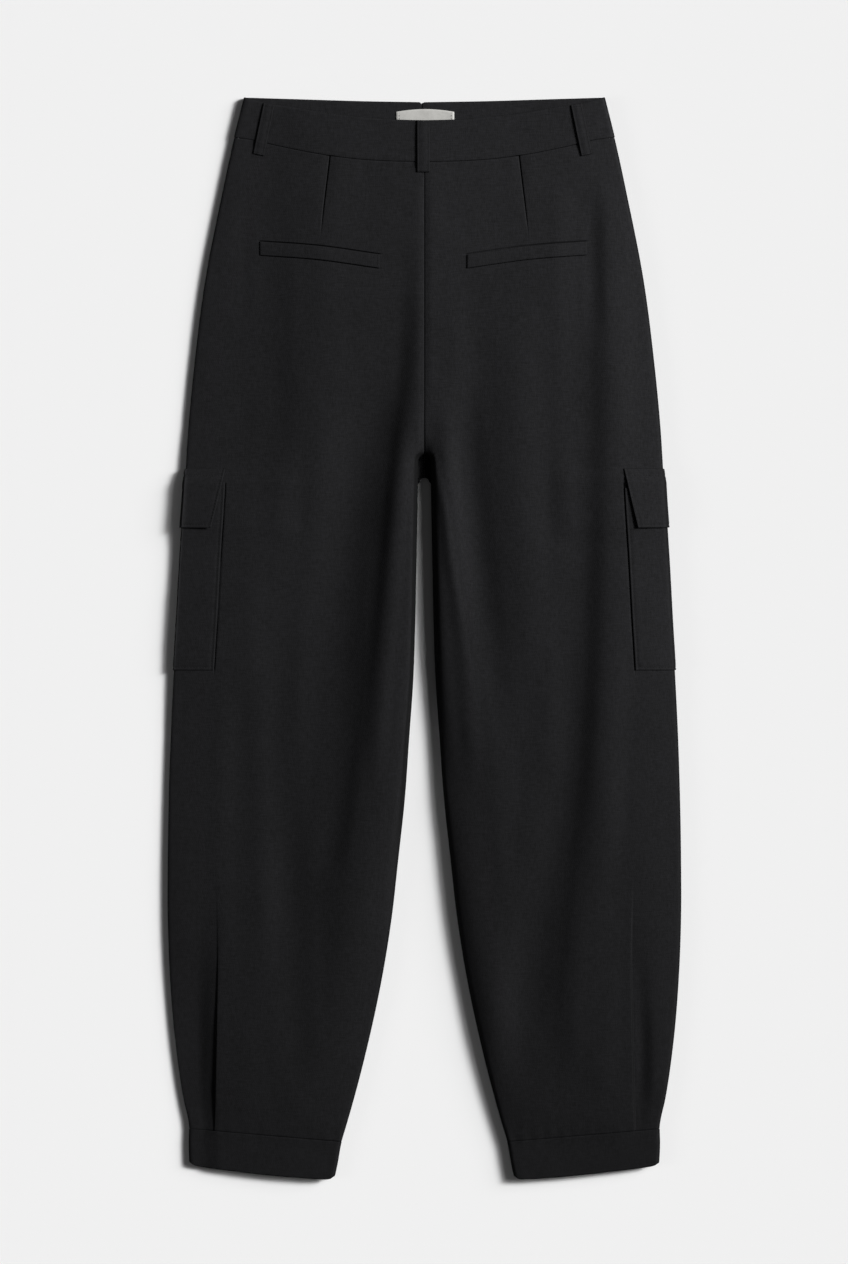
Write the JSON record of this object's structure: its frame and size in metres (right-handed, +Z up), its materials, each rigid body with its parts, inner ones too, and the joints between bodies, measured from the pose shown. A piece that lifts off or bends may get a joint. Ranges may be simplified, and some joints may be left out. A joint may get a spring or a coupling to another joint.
{
  "type": "barrel leg trousers, laid flat",
  "caption": "Charcoal barrel leg trousers laid flat with the back up: high waistband, belt loops, back welts, side cargo pockets with flaps, and tucked, cuffed hems.",
  "frame": {"origin": "on the surface that the garment lies on, under the middle of its outline", "axes": "+Y towards the waistband, +Z up out of the back of the garment, +X to the right as seen from above"},
  "size_m": [0.5148, 1.083, 0.0226],
  "materials": {
    "trouser_cloth": "charcoal suiting twill, matt with a faint sheen",
    "woven_label": "pale grey woven label, satin and blank"
  },
  "bodies": {
    "root": {"back_left_panel": "trouser_cloth", "back_right_panel": "trouser_cloth", "front_left_panel": "trouser_cloth", "front_right_panel": "trouser_cloth", "back_waistband": "trouser_cloth", "front_waistband_left": "trouser_cloth", "front_waistband_right": "trouser_cloth", "belt_loop_centre": "trouser_cloth", "belt_loop_left": "trouser_cloth", "belt_loop_right": "trouser_cloth", "welt_left": "trouser_cloth", "welt_right": "trouser_cloth", "cargo_pocket_left": "trouser_cloth", "cargo_pocket_right": "trouser_cloth", "cargo_flap_left": "trouser_cloth", "cargo_flap_right": "trouser_cloth", "hem_cuff_left": "trouser_cloth", "hem_cuff_right": "trouser_cloth", "label": "woven_label"}
  },
  "joints": []
}
